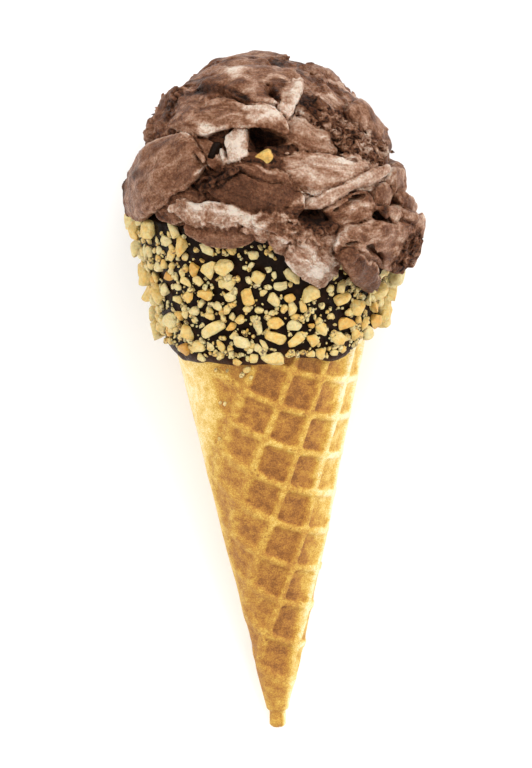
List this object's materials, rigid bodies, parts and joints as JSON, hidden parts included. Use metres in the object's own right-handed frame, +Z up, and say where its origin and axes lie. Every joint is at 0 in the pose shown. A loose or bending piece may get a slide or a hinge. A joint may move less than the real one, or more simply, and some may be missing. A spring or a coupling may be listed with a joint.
{
  "type": "ice cream cone",
  "caption": "Rolled waffle cone with its rim dipped in dark chocolate and chopped peanuts, heaped with chocolate ice cream in ragged folds, lying on its side.",
  "frame": {"origin": "middle of the underside of the box round the whole cone as it lies", "axes": "+Z up, away from the surface the cone lies on; +Y from the wafer's tip towards the ice cream; +X to the right for someone who looks down on the shown side with the ice cream away from them"},
  "size_m": [0.0898, 0.1956, 0.0884],
  "materials": {
    "wafer": "baked golden wafer, dry and matt",
    "nut_coat": "set dark chocolate, softly glossy, with dry pale chopped peanuts",
    "ice_cream": "frozen chocolate cream, moist and softly glossy, crumbly where torn"
  },
  "bodies": {
    "root": {"waffle_cone": "wafer", "nut_coat": "nut_coat", "ice_cream": "ice_cream"}
  },
  "joints": []
}
